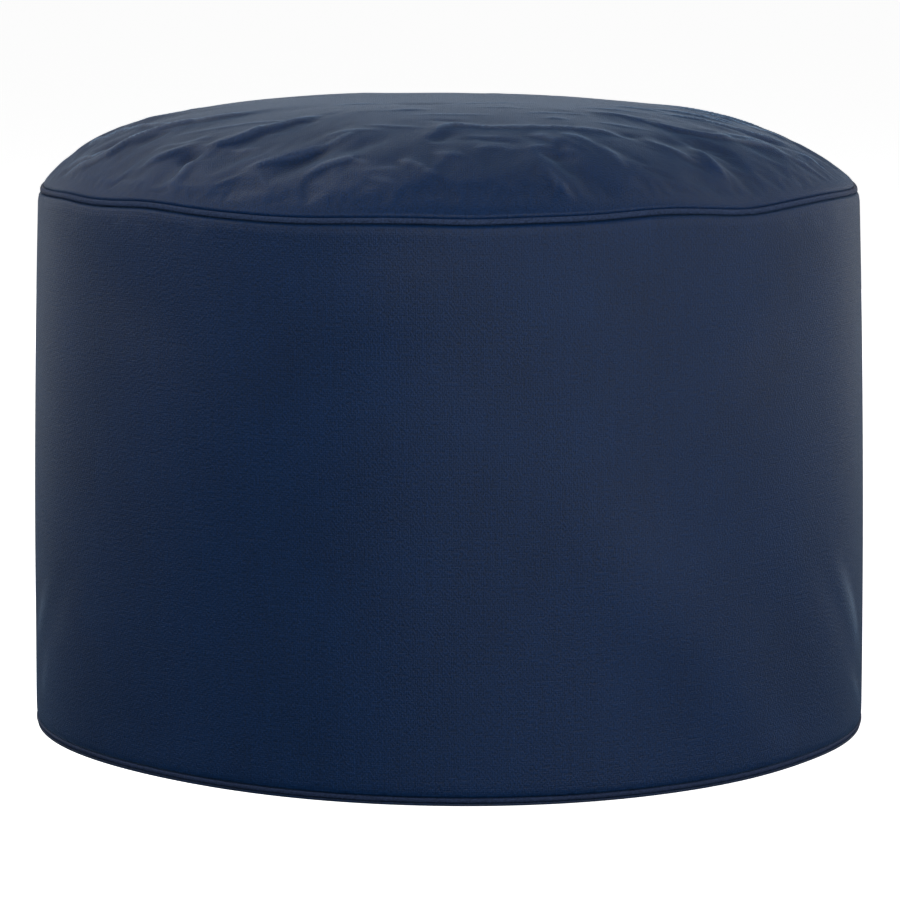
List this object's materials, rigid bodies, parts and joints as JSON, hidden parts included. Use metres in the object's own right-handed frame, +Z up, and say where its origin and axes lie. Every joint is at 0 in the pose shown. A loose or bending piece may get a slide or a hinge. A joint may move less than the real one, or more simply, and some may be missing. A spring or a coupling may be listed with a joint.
{
  "type": "pouf",
  "caption": "Round drum-shaped pouf in navy cloth, with a crowned slack top, smooth wall, flat base and piped seams.",
  "frame": {"origin": "on the floor, under the middle of the pouf", "axes": "+Z up through the crown of the top, -Y towards the side seen in front, +X to its right"},
  "size_m": [0.5042, 0.5064, 0.3777],
  "materials": {
    "top_cloth": "matt coated weave, navy",
    "side_cloth": "matt coated weave, navy",
    "base_cloth": "matt coated weave, navy",
    "piping_cloth": "the same weave wrapped round a cord, navy"
  },
  "bodies": {
    "root": {"top_panel": "top_cloth", "side_panel": "side_cloth", "base_panel": "base_cloth", "top_piping": "piping_cloth", "bottom_piping": "piping_cloth"}
  },
  "joints": []
}
